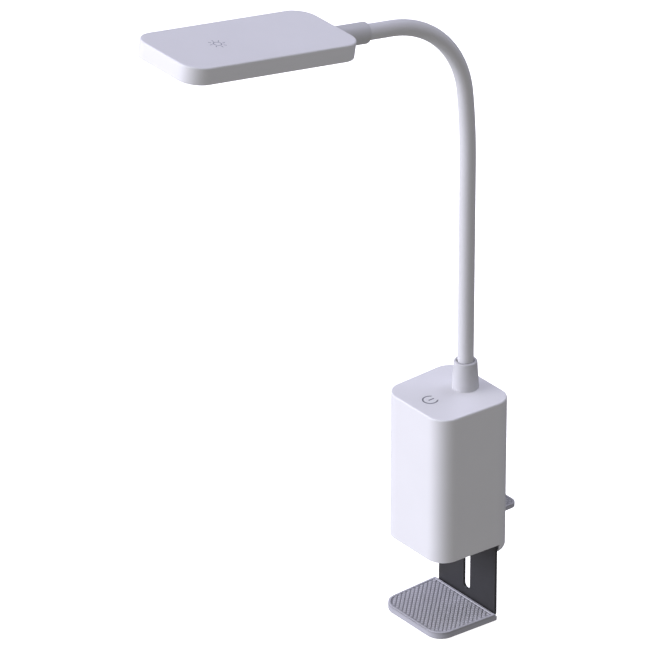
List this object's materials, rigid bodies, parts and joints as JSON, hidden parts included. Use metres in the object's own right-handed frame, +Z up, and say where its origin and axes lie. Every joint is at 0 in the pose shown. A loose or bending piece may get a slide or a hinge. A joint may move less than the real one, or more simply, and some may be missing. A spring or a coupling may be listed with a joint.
{
  "type": "gooseneck desk lamp",
  "caption": "Clamp-on reading lamp with a flat light head on a bendable gooseneck, a battery housing and a sliding desk clamp.",
  "frame": {"origin": "centre of the housing's underside, where it sits on the desk's top", "axes": "+Z up, the lamp head and clamp jaw reach towards -Y, the thumb tab is at +Y"},
  "size_m": [0.0716, 0.3101, 0.5413],
  "materials": {
    "shell_white": "fine matte",
    "jaw_grey": "fine matte",
    "tab_grey": "fine matte",
    "sleeve_white": "smooth matte silicone",
    "pad_grey": "matte with a fine grid",
    "pad_dark": "matte",
    "plate_black": "satin black",
    "cover_grey": "matte",
    "steel": "brushed",
    "cell_blue": "wrapped",
    "board_green": "lacquered",
    "chip_black": "matte",
    "symbol_grey": "matte",
    "board_white": "white lacquer",
    "led_yellow": "matte",
    "diffuser_white": "frosted"
  },
  "bodies": {
    "housing": {"base_collar": "shell_white", "battery_cells": "cell_blue", "battery_holder": "cover_grey", "board_chips": "chip_black", "board_screws": "steel", "bottom_cover": "cover_grey", "brake_pads": "pad_dark", "brake_spring": "steel", "control_board": "board_green", "cover_screws": "steel", "desk_pad": "pad_dark", "guide_bush": "cover_grey", "guide_front": "steel", "guide_pin": "steel", "guide_rails": "steel", "guide_screws": "steel", "guide_spacers": "steel", "housing_shell": "shell_white", "neck_core_00": "steel", "neck_nut": "steel", "neck_sleeve_00": "sleeve_white", "power_symbol": "symbol_grey", "touch_sensor": "board_green", "usb_socket": "steel"},
    "clamp": {"clamp_plate": "plate_black", "jaw_base": "jaw_grey", "jaw_pad": "pad_grey", "jaw_screws": "steel", "thumb_tab": "tab_grey", "tab_pad": "pad_grey", "tab_screws": "steel"},
    "neck_link_01": {"neck_sleeve_01": "sleeve_white", "neck_core_01": "steel"},
    "neck_link_02": {"neck_sleeve_02": "sleeve_white", "neck_core_02": "steel"},
    "neck_link_03": {"neck_sleeve_03": "sleeve_white", "neck_core_03": "steel"},
    "neck_link_04": {"neck_sleeve_04": "sleeve_white", "neck_core_04": "steel"},
    "neck_link_05": {"neck_sleeve_05": "sleeve_white", "neck_core_05": "steel"},
    "neck_link_06": {"neck_sleeve_06": "sleeve_white", "neck_core_06": "steel"},
    "neck_link_07": {"neck_sleeve_07": "sleeve_white", "neck_core_07": "steel"},
    "neck_link_08": {"neck_sleeve_08": "sleeve_white", "neck_core_08": "steel"},
    "neck_link_09": {"neck_sleeve_09": "sleeve_white", "neck_core_09": "steel"},
    "head": {"head_cover": "shell_white", "head_bezel": "shell_white", "diffuser": "diffuser_white", "led_board": "board_white", "leds": "led_yellow", "head_screws": "steel", "head_collar": "shell_white", "collar_screws": "steel", "neck_sleeve_10": "sleeve_white", "neck_core_10": "steel"}
  },
  "joints": [
    {"name": "clamp_slide", "type": "slide", "parent": "housing", "child": "clamp", "axis": [0, 0, 1], "range_m": [0, 0.058]},
    {"name": "neck_bend_01", "type": "hinge", "parent": "housing", "child": "neck_link_01", "pos_m": [0, 0.01615, 0.15], "axis": [1, 0, 0], "range_deg": [-40, 40]},
    {"name": "neck_sway_02", "type": "hinge", "parent": "neck_link_01", "child": "neck_link_02", "pos_m": [0, 0.01615, 0.18668], "axis": [0, -1, 0], "range_deg": [-40, 40]},
    {"name": "neck_bend_03", "type": "hinge", "parent": "neck_link_02", "child": "neck_link_03", "pos_m": [0, 0.01615, 0.22337], "axis": [-1, 0, 0], "range_deg": [-40, 40]},
    {"name": "neck_sway_04", "type": "hinge", "parent": "neck_link_03", "child": "neck_link_04", "pos_m": [0, 0.01615, 0.26005], "axis": [0, 1, 0], "range_deg": [-40, 40]},
    {"name": "neck_bend_05", "type": "hinge", "parent": "neck_link_04", "child": "neck_link_05", "pos_m": [0, 0.01615, 0.29674], "axis": [1, 0, 0], "range_deg": [-40, 40]},
    {"name": "neck_bend_06", "type": "hinge", "parent": "neck_link_05", "child": "neck_link_06", "pos_m": [0, 0.0153, 0.3334], "axis": [-1, 0, 0], "range_deg": [-40, 40]},
    {"name": "neck_sway_07", "type": "hinge", "parent": "neck_link_06", "child": "neck_link_07", "pos_m": [0, 0.01164, 0.36988], "axis": [0, -0.9777, -0.2099], "range_deg": [-40, 40]},
    {"name": "neck_bend_08", "type": "hinge", "parent": "neck_link_07", "child": "neck_link_08", "pos_m": [0, -0.00369, 0.40287], "axis": [1, 0, 0], "range_deg": [-40, 40]},
    {"name": "neck_sway_09", "type": "hinge", "parent": "neck_link_08", "child": "neck_link_09", "pos_m": [0, -0.03179, 0.42597], "axis": [0, 0.448, 0.894], "range_deg": [-40, 40]},
    {"name": "neck_bend_10", "type": "hinge", "parent": "neck_link_09", "child": "head", "pos_m": [0, -0.06702, 0.43551], "axis": [-1, 0, 0], "range_deg": [-40, 40]}
  ]
}
